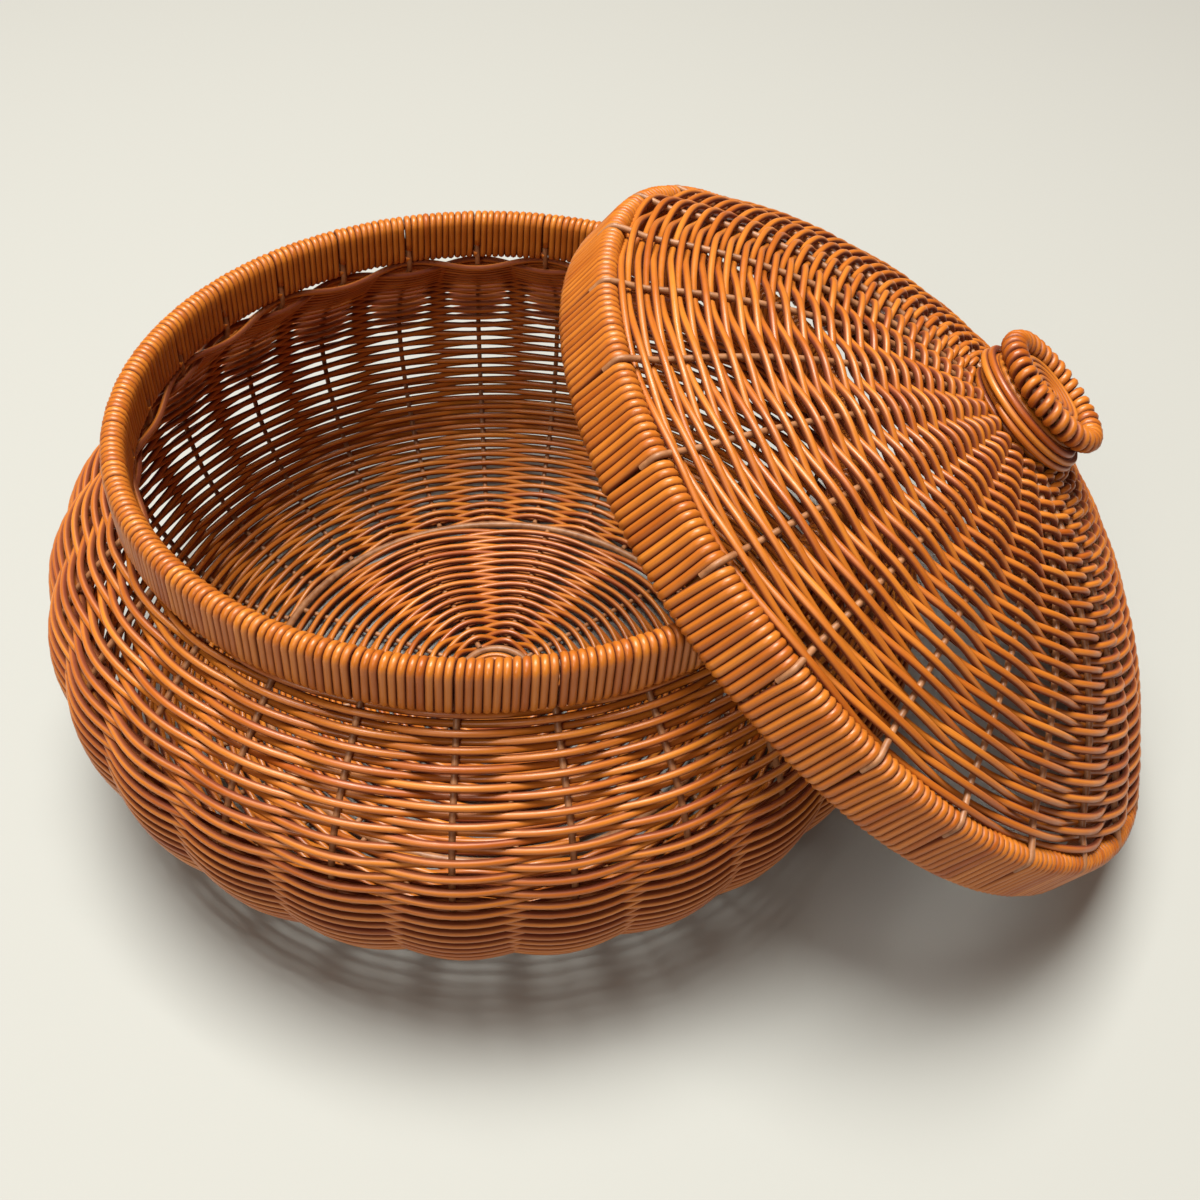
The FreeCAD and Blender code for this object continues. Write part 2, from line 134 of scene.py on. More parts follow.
class StrandMesh:
    """Mesh of round strands, each one a circle carried along its run and closed at both ends.

    The point at share q round the section is P + r (cos q N + sin q B), where N is the part of the
    facing direction square to the run and B is the cross product of the run's way and N.
    """

    def __init__(self, sides: int = 8) -> None:
        """Start with no strands.

        Args:
            sides: Corners of a strand's section.
        """
        self.sides = sides
        self.points: list[Array] = []
        self.grain: list[Array] = []
        self.tints: list[Array] = []
        self.corners: list[Array] = []
        self.face_sizes: list[Array] = []
        self.made = 0

    def add(self, run: Run, radius: float | Array) -> None:
        """Add one strand.

        Args:
            run: Middle line of the strand.
            radius: Radius of its section, in metres, for the whole run or for each point.
        """
        count, sides = len(run.points), self.sides
        way = unit(np.gradient(run.points, axis=0))
        side = unit(np.cross(way, run.facing))
        out = np.cross(side, way)
        turn = np.arange(sides) / sides * FULL_TURN
        reach = np.broadcast_to(np.asarray(radius, float), count)[:, None, None]
        ring = np.cos(turn)[None, :, None] * out[:, None] + np.sin(turn)[None, :, None] * side[:, None]
        steps = np.linalg.norm(np.diff(run.points, axis=0), axis=1)
        length = np.concatenate([[0.0], np.cumsum(steps)])
        across = reach[..., 0] * np.ones(sides)
        grain = np.stack(
            [across * np.cos(turn), across * np.sin(turn), np.repeat(length[:, None], sides, axis=1)], axis=-1
        )
        self.points.append((run.points[:, None] + reach * ring).reshape(-1, 3))
        self.grain.append(grain.reshape(-1, 3))
        self.tints.append(np.repeat(run.tint, sides))
        index = self.made + np.arange(count * sides).reshape(count, sides)
        after = np.roll(index, -1, axis=1)
        walls = np.stack([index[:-1], after[:-1], after[1:], index[1:]], axis=-1).reshape(-1)
        self.corners += [walls, index[0, ::-1], index[-1]]
        self.face_sizes += [np.full((count - 1) * sides, 4), np.array([sides, sides])]
        self.made += count * sides

    def build(self, name: str, placing: Matrix | None = None) -> bpy.types.Object:
        """Make the object, with its place in its mesh.

        Args:
            name: Name of the piece.
            placing: Where the strands' own frame lies in the row frame.

        Returns:
            The new object, linked to the scene.
        """
        points = np.concatenate(self.points)
        if placing is not None:
            matrix = np.array(placing)
            points = points @ matrix[:3, :3].T + matrix[:3, 3]
        corners = np.concatenate(self.corners).astype(np.int32)
        sizes = np.concatenate(self.face_sizes).astype(np.int32)
        starts = np.concatenate([[0], np.cumsum(sizes)[:-1]]).astype(np.int32)
        mesh = bpy.data.meshes.new(name)
        mesh.vertices.add(len(points))
        mesh.vertices.foreach_set("co", points.astype(np.float32).ravel())
        mesh.loops.add(len(corners))
        mesh.loops.foreach_set("vertex_index", corners)
        mesh.polygons.add(len(sizes))
        mesh.polygons.foreach_set("loop_start", starts)
        mesh.polygons.foreach_set("use_smooth", sizes == 4)
        grain = mesh.attributes.new("strand_grain", "FLOAT_VECTOR", "POINT")
        grain.data.foreach_set("vector", np.concatenate(self.grain).astype(np.float32).ravel())
        tint = mesh.attributes.new("strand_tint", "FLOAT", "POINT")
        tint.data.foreach_set("value", np.concatenate(self.tints).astype(np.float32))
        mesh.update(calc_edges=True)
        mesh.validate()
        piece = bpy.data.objects.new(name, mesh)
        bpy.context.scene.collection.objects.link(piece)
        return piece


# Round outlines that strands are woven or wound on

@dataclass(frozen=True)
class Arc:
    """Arc of a radial outline.

    Attributes:
        centre_radius: Distance of its centre from the axis.
        centre_height: Height of its centre.
        bend: Its radius.
        start: First angle, in degrees above level.
        end: Last angle, in degrees above level.
    """

    centre_radius: float
    centre_height: float
    bend: float
    start: float
    end: float


class Outline:
    """Radial outline of arcs and a straight end, set in from the outside, read by its length."""

    POINTS_PER_ARC = 60

    def __init__(self, arcs: list[Arc], inset: float, straight: float = 0.0) -> None:
        """Sample the outline.

        Args:
            arcs: Arcs in order, each tangent to the next.
            inset: How far inside the arcs the outline runs, in metres.
            straight: Length of a straight run after the last arc, in metres.
        """
        angles = [np.radians(np.linspace(arc.start, arc.end, self.POINTS_PER_ARC)) for arc in arcs]
        radius = [a.centre_radius + (a.bend - inset) * np.cos(t) for a, t in zip(arcs, angles)]
        height = [a.centre_height + (a.bend - inset) * np.sin(t) for a, t in zip(arcs, angles)]
        lean = list(angles)
        if straight:
            run = np.array([straight])
            radius.append(radius[-1][-1:] - run * math.sin(lean[-1][-1]))
            height.append(height[-1][-1:] + run * math.cos(lean[-1][-1]))
            lean.append(lean[-1][-1:])
        self.radius = np.concatenate(radius)
        self.height = np.concatenate(height)
        self.lean = np.concatenate(lean)
        steps = np.hypot(np.diff(self.radius), np.diff(self.height))
        self.length = np.concatenate([[0.0], np.cumsum(steps)])
        ends = np.cumsum([len(part) for part in radius]) - 1
        self.marks = np.concatenate([[0.0], self.length[ends]])

    def at(self, length: Array) -> tuple[Array, Array, Array]:
        """Radius, height and lean of the outward direction at lengths along the outline."""
        return tuple(np.interp(length, self.length, part) for part in (self.radius, self.height, self.lean))


def about_axis(radius: Array, height: Array, turn: Array) -> Array:
    """Points at a radius, height and turn about the upright axis."""
    return np.stack([radius * np.cos(turn), radius * np.sin(turn), height], axis=-1)


@dataclass(frozen=True)
class Wires:
    """Wires of a frame, evenly spread about an axis.

    Attributes:
        count: How many there are.
        first_turn: Turn of the first one, in degrees.
        dia: Their diameter, in metres.
    """

    count: int
    first_turn: float
    dia: float

    @property
    def first(self) -> float:
        """Turn of the first wire, in radians."""
        return math.radians(self.first_turn)

    @property
    def step(self) -> float:
        """Turn from one wire to the next, in radians."""
        return FULL_TURN / self.count


@dataclass
class PlainWeave:
    """One strand that winds round and round an outline, in front of one wire and behind the next.

    The turn phi grows without end and the length along the outline grows with it, by one row height
    a turn. The strand stands off the outline by A cos(n phi / 2), where n is the odd count of wires,
    so that each row passes the wires on the other side from the row below it.

    Attributes:
        outline: Outline that the wires follow.
        wires: The wires.
        strand_dia: Diameter of the strand, in metres.
        row_height: Height of a row at lengths along the outline, in metres.
        seed: Seed of the weave's small unevenness.
        steps: Points between two wires.
        samples: Places where the row height is read.
        row_wander: How far rows stray along the outline, in metres.
        row_quickness: How quickly they stray.
        swing_wander: Share by which the strand swings less at some places.
        swing_quickness: How quickly that changes.
        tint_middle: Middle tint of the strand.
        tint_spread: How far the tint strays.
        tint_quickness: How quickly it strays.
    """

    outline: Outline
    wires: Wires
    strand_dia: float
    row_height: Callable[[Array], Array]
    seed: int
    steps: int = 10
    samples: int = 2000
    row_wander: float = 0.00028
    row_quickness: float = 0.31
    swing_wander: float = 0.07
    swing_quickness: float = 0.23
    tint_middle: float = 0.55
    tint_spread: float = 0.2
    tint_quickness: float = 0.045

    def run(self, start: float, end: float) -> tuple[Run, Array]:
        """Strand from one length along the outline to another.

        Args:
            start: Length where the strand begins.
            end: Length where it ends.

        Returns:
            The strand and the length along the outline of each of its points.
        """
        lengths = np.linspace(start, end, self.samples)
        rows = self.row_height(lengths)
        turns = np.concatenate([[0.0], np.cumsum(np.diff(lengths) * 2 / (rows[1:] + rows[:-1]))])
        phi = np.arange(0.0, turns[-1] * FULL_TURN, self.wires.step / self.steps)
        along = np.interp(phi / FULL_TURN, turns, lengths)
        uneven = along + self.row_wander * wander(phi, self.seed, self.row_quickness)
        radius, height, lean = self.outline.at(np.clip(uneven, start, end))
        slack = np.clip(wander(phi, self.seed + 1, self.swing_quickness) - 1, -1, 0)
        swing = (self.strand_dia + self.wires.dia) / 2 * (1 + self.swing_wander * slack)
        off = swing * np.cos(self.wires.count * phi / 2)
        turn = self.wires.first + phi
        points = about_axis(radius + off * np.cos(lean), height + off * np.sin(lean), turn)
        facing = about_axis(np.cos(lean), np.sin(lean), turn)
        stray = wander(phi, self.seed + 2, self.tint_quickness)
        tint = np.clip(self.tint_middle + self.tint_spread * stray, 0, 1)
        return Run(points, facing, tint), along


def part_of(run: Run, first: int, last: int) -> Run:
    """Stretch of a run between two of its points."""
    return Run(run.points[first:last], run.facing[first:last], run.tint[first:last])


@dataclass
class Binding:
    """Strand wound about two hoops, one winding between each two wires.

    Across the ring the strand follows a long round-ended loop: a half circle over the upper hoop, a
    straight run, a half circle under the lower hoop and a straight run. It moves on by one strand a loop.

    Attributes:
        radius: Radius of the hoops, in metres.
        foot: Height of the band's lower edge.
        band: Height of the band.
        width: Thickness of the band.
        loops: Loops in one winding.
        wires: Wires that part the windings.
        notch_low: Gap left at each wire at the band's lower edge.
        notch_top: Gap left at each wire at its upper edge.
        seed: Seed of the winding's small unevenness.
        outer_share: Share of a loop by which the outer sides are moved on.
        crowding: How much thicker the strand is than its room, so that loops press together.
        bend_points: Steps over a hoop.
        side_points: Points on a straight run.
        lean_spread: Spread of the loops' lean, in strand radii.
        swell_spread: Spread of the loops' height off the hoops, in strand radii.
        tint_middle: Middle tint of the loops.
        tint_spread: Spread of their tint.
    """

    radius: float
    foot: float
    band: float
    width: float
    loops: int
    wires: Wires
    notch_low: float
    notch_top: float
    seed: int
    outer_share: float = 0.07
    crowding: float = 1.05
    bend_points: int = 6
    side_points: int = 3
    lean_spread: float = 0.06
    swell_spread: float = 0.035
    tint_middle: float = 0.55
    tint_spread: float = 0.09

    @property
    def strand_radius(self) -> float:
        """Radius of the strand, so that neighbouring loops press together on the outside."""
        outside = self.radius + self.width / 2
        return (outside * self.wires.step - self.notch_low) / self.loops / 2 * self.crowding

    def section(self) -> tuple[Array, Array, Array, Array]:
        """One loop about the hoops, from the middle of the inner side down and round.

        Returns:
            Offsets out and up, and the parts out and up of the direction away from the hoops.
        """
        bend = self.width / 2 - self.strand_radius
        half = self.band / 2 - self.width / 2
        arc = np.linspace(0, math.pi, self.bend_points + 1)
        side = np.linspace(-half, half, self.side_points + 2)[1:-1]
        flat = np.ones(self.side_points)
        out = np.concatenate([-bend * np.cos(arc), bend * flat, bend * np.cos(arc), -bend * flat])
        up = np.concatenate([-half - bend * np.sin(arc), side, half + bend * np.sin(arc), side[::-1]])
        away_out = np.concatenate([-np.cos(arc), flat, np.cos(arc), -flat])
        away_up = np.concatenate([-np.sin(arc), 0 * flat, np.sin(arc), 0 * flat])
        return out, up, away_out, away_up

    def winding(self, index: int) -> Run:
        """Winding after one wire.

        Args:
            index: Which wire, counted from the first.

        Returns:
            The wound strand.
        """
        draw = np.random.default_rng(self.seed + index)
        out, up, away_out, away_up = (np.tile(part, self.loops) for part in self.section())
        count = len(out)
        share = (np.arange(count) + 0.5) / count + self.outer_share / self.loops - 0.5
        rise = np.clip(up / self.band + 0.5, 0, 1)
        notch = self.notch_low + (self.notch_top - self.notch_low) * rise ** 2
        span = self.wires.step - notch / (self.radius + self.width / 2)
        points_per_loop = count // self.loops
        lean = np.repeat(draw.normal(0, self.lean_spread, self.loops), points_per_loop) * self.strand_radius
        slip = lean * up / self.band * 2 / self.radius
        turn = self.wires.first + (index + 0.5) * self.wires.step + span * share + slip
        swell = np.repeat(draw.normal(0, self.swell_spread, self.loops), points_per_loop) * self.strand_radius
        middle = self.foot + self.band / 2
        points = about_axis(self.radius + out + swell * away_out, middle + up + swell * away_up, turn)
        tints = draw.normal(self.tint_middle, self.tint_spread, self.loops)
        tint = np.repeat(np.clip(tints, 0, 1), points_per_loop)
        return Run(points, about_axis(away_out, away_up, turn), tint)

    def mesh(self) -> StrandMesh:
        """All the windings."""
        strands = StrandMesh()
        for index in range(self.wires.count):
            strands.add(self.winding(index), self.strand_radius)
        return strands


COIL_TINT, COIL_TINT_SPREAD, COIL_TINT_QUICKNESS = 0.5, 0.25, 0.4


def coil(turns: Array, radius: Array, height: Array, facing_up: Array, seed: int) -> Run:
    """Strand that coils about the axis.

    Args:
        turns: Turn of each point, in whole turns.
        radius: Radius of each point, in metres.
        height: Height of each point, in metres.
        facing_up: Share of the facing direction that points up.
        seed: Seed of the tint.

    Returns:
        The coiled strand.
    """
    turn = turns * FULL_TURN
    facing = about_axis(np.sqrt(1 - facing_up ** 2), facing_up, turn)
    tint = np.clip(COIL_TINT + COIL_TINT_SPREAD * wander(turns, seed, COIL_TINT_QUICKNESS), 0, 1)
    return Run(about_axis(radius, height, turn), facing, tint)


# Finishes

def new_group(name: str, inputs: dict[str, str], outputs: dict[str, str]) -> bpy.types.NodeTree:
    """Empty shader node group.

    Args:
        name: Name of the group.
        inputs: Socket type for each input's name.
        outputs: Socket type for each output's name.

    Returns:
        The group, with its input and output nodes in place.
    """
    group = bpy.data.node_groups.new(name, "ShaderNodeTree")
    for socket, kind in inputs.items():
        group.interface.new_socket(socket, in_out="INPUT", socket_type=kind)
    for socket, kind in outputs.items():
        group.interface.new_socket(socket, in_out="OUTPUT", socket_type=kind)
    group.nodes.new("NodeGroupInput")
    group.nodes.new("NodeGroupOutput")
    return group


@dataclass(frozen=True)
class NoiseForm:
    """Scale of a noise along each part of its vector, and its detail."""

    stretch: tuple[float, float, float]
    detail: float


class Shader:
    """Small helper that adds and joins nodes of one tree."""

    def __init__(self, tree: bpy.types.NodeTree) -> None:
        """Work on a tree."""
        self.tree = tree

    def node(self, kind: str, values: dict | None = None, **settings: object) -> bpy.types.Node:
        """Add a node.

        Args:
            kind: Type of the node.
            values: Constants of its inputs, by name or number.
            **settings: Properties of the node by name.

        Returns:
            The node.
        """
        made = self.tree.nodes.new(kind)
        for name, value in settings.items():
            setattr(made, name, value)
        for socket, value in (values or {}).items():
            made.inputs[socket].default_value = value
        return made

    def join(self, source: Socket, target: Socket) -> None:
        """Link two sockets."""
        self.tree.links.new(source, target)

    def noise(self, vector: Socket, form: NoiseForm) -> Socket:
        """Noise on a stretched vector.

        Args:
            vector: Vector that the noise follows.
            form: Its stretch and detail.

        Returns:
            The noise value.
        """
        mapping = self.node("ShaderNodeMapping", {"Scale": form.stretch})
        texture = self.node("ShaderNodeTexNoise", {"Scale": 1.0, "Detail": form.detail})
        self.join(vector, mapping.inputs["Vector"])
        self.join(mapping.outputs["Vector"], texture.inputs["Vector"])
        return texture.outputs["Fac"]

    def ranged(self, value: Socket, low: float, high: float) -> Socket:
        """Noise value, from its usual lowest to its usual highest, brought to a new range."""
        limits = {"From Min": NOISE_LOW, "From Max": NOISE_HIGH, "To Min": low, "To Max": high}
        ranged = self.node("ShaderNodeMapRange", limits)
        self.join(value, ranged.inputs["Value"])
        return ranged.outputs["Result"]

    def mixed(self, share: Socket, first: object, second: object) -> Socket:
        """Mix of two colours or colour sockets by a share."""
        mix = self.node("ShaderNodeMix", data_type="RGBA")
        self.join(share, mix.inputs["Factor"])
        for colour, socket in ((first, mix.inputs["A"]), (second, mix.inputs["B"])):
            if isinstance(colour, Socket):
                self.join(colour, socket)
            else:
                socket.default_value = (*colour, 1.0)
        return mix.outputs["Result"]

    def scaled(self, value: Socket, factor: float) -> Socket:
        """Value times a factor."""
        maths = self.node("ShaderNodeMath", {1: factor}, operation="MULTIPLY")
        self.join(value, maths.inputs[0])
        return maths.outputs["Value"]

    def sum_of(self, first: Socket, second: Socket, weight: float) -> Socket:
        """First value plus a weighted second one."""
        maths = self.node("ShaderNodeMath", {1: weight}, operation="MULTIPLY_ADD")
        self.join(second, maths.inputs[0])
        self.join(first, maths.inputs[2])
        return maths.outputs["Value"]

    def relief(self, height: Socket, strength: float, depth: float) -> Socket:
        """Normal of a fine relief with a height, a strength and a depth in metres."""
        bump = self.node("ShaderNodeBump", {"Strength": strength, "Distance": depth})
        self.join(height, bump.inputs["Height"])
        return bump.outputs["Normal"]


def new_material(name: str) -> tuple[bpy.types.Material, Shader, bpy.types.Node]:
    """New material, a helper for its nodes, and its surface node."""
    made = bpy.data.materials.new(name)
    made.use_nodes = True
    return made, Shader(made.node_tree), made.node_tree.nodes["Principled BSDF"]


CLOUD = NoiseForm((160, 160, 22), 2.0)
STREAK = NoiseForm((1500, 1500, 30), 2.0)
FINE = NoiseForm((4200, 4200, 90), 1.0)
WEAR = NoiseForm((420, 420, 260), 3.0)
CLOUD_SHARE, FINE_SHARE = 0.28, 0.5
# The sides of each strand that face its neighbours get painted shade, where shade falls between strands, and
# are made rougher.
PAINTED_SHADE_START, CREVICE_DULLNESS = 0.25, 0.45
SATIN_ROUGHNESS = (0.3, 0.46)


def strand_grain_and_shade_group() -> bpy.types.NodeTree:
    """Group that gives drawn strands their long streaks, cloudy tone, fine lines and painted shade where they
    meet.

    Returns:
        The group, with a shade, a streak, a mask of painted shade for the sides that lie against other
        strands, a roughness and a height that change over the surface.
    """
    value, vector = "NodeSocketFloat", "NodeSocketVector"
    group = new_group(
        "strand grain and painted shade",
        {"Grain": vector, "Tint": value},
        {"Shade": value, "Streak": value, "Painted Shade": value, "Roughness": value, "Height": value},
    )
    shader = Shader(group)
    source, target = group.nodes["Group Input"], group.nodes["Group Output"]
    grain = source.outputs["Grain"]
    cloud = shader.noise(grain, CLOUD)
    streak = shader.noise(grain, STREAK)
    fine = shader.noise(grain, FINE)
    wear = shader.noise(grain, WEAR)
    shade = shader.sum_of(source.outputs["Tint"], shader.ranged(cloud, -1.0, 1.0), CLOUD_SHARE)
    shader.join(shade, target.inputs["Shade"])
    shader.join(shader.ranged(streak, 0.0, 1.0), target.inputs["Streak"])
    # Painted shade mask: near one on the sides of the section that face neighbouring strands, where shade
    # falls between them.
    sides = shader.node("ShaderNodeVectorMath", {1: (1, 1, 0)}, operation="MULTIPLY")
    shader.join(grain, sides.inputs[0])
    way = shader.node("ShaderNodeVectorMath", operation="NORMALIZE")
    shader.join(sides.outputs["Vector"], way.inputs[0])
    parts = shader.node("ShaderNodeSeparateXYZ")
    shader.join(way.outputs["Vector"], parts.inputs["Vector"])
    squared = shader.node("ShaderNodeMath", {1: 2.0}, operation="POWER")
    size = shader.node("ShaderNodeMath", operation="ABSOLUTE")
    shader.join(parts.outputs["Y"], size.inputs[0])
    shader.join(size.outputs["Value"], squared.inputs[0])
    limits = {"From Min": PAINTED_SHADE_START, "From Max": 1.0}
    painted_shade = shader.node("ShaderNodeMapRange", limits, interpolation_type="SMOOTHSTEP")
    shader.join(squared.outputs["Value"], painted_shade.inputs["Value"])
    shader.join(painted_shade.outputs["Result"], target.inputs["Painted Shade"])
    satin = shader.ranged(wear, *SATIN_ROUGHNESS)
    dull = shader.sum_of(satin, painted_shade.outputs["Result"], CREVICE_DULLNESS)
    shader.join(dull, target.inputs["Roughness"])
    shader.join(shader.sum_of(streak, fine, FINE_SHARE), target.inputs["Height"])
    return group


@dataclass(frozen=True)
class StrandFinish:
    """Satin finish of drawn strands, with painted shade on the sides where they lie against other strands.

    Attributes:
        name: Name of the material.
        deep: Colour of the darker strands.
        light: Colour of the lighter strands.
        streak: Colour of the long streaks.
        painted_shade: Painted shade, a dark colour for the sides that lie against other strands.
        streak_share: How strongly the streaks show.
        painted_shade_share: How strongly the painted shade on those sides shows.
        bump_strength: Strength of the grain's relief.
        bump_depth: Depth of the grain's relief, in metres.
    """

    name: str
    deep: tuple[float, float, float]
    light: tuple[float, float, float]
    streak: tuple[float, float, float]
    painted_shade: tuple[float, float, float]
    streak_share: float = 0.35
    painted_shade_share: float = 0.8
    bump_strength: float = 0.25
    bump_depth: float = 0.0002

    def material(self, grain_and_shade_group: bpy.types.NodeTree) -> bpy.types.Material:
        """Make the material.

        Args:
            grain_and_shade_group: The group of strand grain and painted shade.

        Returns:
            The material.
        """
        made, shader, surface = new_material(self.name)
        grain = shader.node("ShaderNodeGroup", node_tree=grain_and_shade_group)
        place = shader.node("ShaderNodeAttribute", attribute_name="strand_grain")
        tint = shader.node("ShaderNodeAttribute", attribute_name="strand_tint")
        shader.join(place.outputs["Vector"], grain.inputs["Grain"])
        shader.join(tint.outputs["Fac"], grain.inputs["Tint"])
        body = shader.mixed(grain.outputs["Shade"], self.deep, self.light)
        streaked = shader.mixed(shader.scaled(grain.outputs["Streak"], self.streak_share), body, self.streak)
        # Painted shade: the sides that lie against other strands are mixed towards a dark red.
        colour = shader.mixed(
            shader.scaled(grain.outputs["Painted Shade"], self.painted_shade_share), streaked, self.painted_shade
        )
        relief = shader.relief(grain.outputs["Height"], self.bump_strength, self.bump_depth)
        shader.join(colour, surface.inputs["Base Color"])
        shader.join(grain.outputs["Roughness"], surface.inputs["Roughness"])
        shader.join(relief, surface.inputs["Normal"])
        return made


@dataclass(frozen=True)
class WireFinish:
    """Dull finish of coated wire.

    Attributes:
        name: Name of the material.
        coat: Colour of the coat.
        worn: Colour where the coat is rubbed.
        patches: Form of the rubbed patches.
        specks: Form of the fine specks.
        roughness: Least and greatest roughness.
        bump_strength: Strength of the specks' relief.
        bump_depth: Depth of the specks' relief, in metres.
    """

    name: str
    coat: tuple[float, float, float]
    worn: tuple[float, float, float]
    patches: NoiseForm = NoiseForm((260, 260, 260), 3.0)
    specks: NoiseForm = NoiseForm((2200, 2200, 2200), 2.0)
    roughness: tuple[float, float] = (0.38, 0.56)
    bump_strength: float = 0.2
    bump_depth: float = 0.0001

    def material(self) -> bpy.types.Material:
        """Make the material, with rubbed patches on Object coordinates."""
        made, shader, surface = new_material(self.name)
        place = shader.node("ShaderNodeTexCoord").outputs["Object"]
        patch = shader.noise(place, self.patches)
        speck = shader.noise(place, self.specks)
        colour = shader.mixed(shader.ranged(patch, 0.0, 1.0), self.coat, self.worn)
        shader.join(colour, surface.inputs["Base Color"])
        shader.join(shader.ranged(speck, *self.roughness), surface.inputs["Roughness"])
        relief = shader.relief(speck, self.bump_strength, self.bump_depth)
        shader.join(relief, surface.inputs["Normal"])
        return made


@dataclass(frozen=True)
class FloorFinish:
    """Matt finish of the pale floor.

    Attributes:
        name: Name of the material.
        colour: Its colour.
        roughness: Its roughness.
        shine: Its specular level.
    """

    name: str
    colour: tuple[float, float, float]
    roughness: float = 0.7
    shine: float = 0.2

    def material(self) -> bpy.types.Material:
        """Make the material."""
        made, _, surface = new_material(self.name)
        surface.inputs["Base Color"].default_value = (*self.colour, 1.0)
        surface.inputs["Roughness"].default_value = self.roughness
        surface.inputs["Specular IOR Level"].default_value = self.shine
        return made


STRAND_DEEP, STRAND_LIGHT = (0.32, 0.070, 0.004), (0.58, 0.205, 0.022)
# Of the next two colours, the streak is the strands' own; the second is painted shade for the sides where
# strands meet.
STRAND_STREAK, STRAND_PAINTED_SHADE = (0.21, 0.034, 0.002), (0.085, 0.003, 0.0003)
BOUND_STREAK_SHARE = 0.3
WIRE_COAT, WIRE_WORN = (0.20, 0.075, 0.025), (0.36, 0.17, 0.075)


@dataclass
class Finishes:
    """Materials of the whole object."""

    weave: bpy.types.Material
    edge: bpy.types.Material
    knob: bpy.types.Material
    wire: bpy.types.Material

    @classmethod
    def make(cls) -> "Finishes":
        """Make every material once."""
        grain = strand_grain_and_shade_group()
        strand = (STRAND_DEEP, STRAND_LIGHT, STRAND_STREAK, STRAND_PAINTED_SHADE)
        return cls(
            weave=StrandFinish("woven strand", *strand).material(grain),
            edge=StrandFinish("binding strand", *strand, BOUND_STREAK_SHARE).material(grain),
            knob=StrandFinish("knob strand", *strand, BOUND_STREAK_SHARE).material(grain),
            wire=WireFinish("coated wire", WIRE_COAT, WIRE_WORN).material(),
        )


def dress(piece: bpy.types.Object, material: bpy.types.Material, body: Body, slot: Slot, *nodes: str) -> None:
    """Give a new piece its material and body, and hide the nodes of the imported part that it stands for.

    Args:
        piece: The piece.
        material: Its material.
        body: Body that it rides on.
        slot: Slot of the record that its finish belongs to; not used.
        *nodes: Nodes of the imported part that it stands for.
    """
    piece.data.materials.append(material)
    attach(piece, body.value)
    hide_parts(*nodes)
    log.info("%s on %s stands for %s", piece.name, body.value, ", ".join(nodes))


def dress_wires(material: bpy.types.Material, *nodes: str) -> None:
    """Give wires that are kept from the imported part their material.

    Args:
        material: Material of the wires.
        *nodes: Names of the wires.
    """
    for name in nodes:
        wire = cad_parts[name]
        wire.data.materials.clear()
        wire.data.materials.append(material)
        log.info("%s kept", name)


def hoop_place(node: str) -> tuple[Vector, float]:
    """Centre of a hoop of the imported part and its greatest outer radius."""
    low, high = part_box(node)
    return (low + high) / 2, max(high - low) / 2


# Sub-assemblies

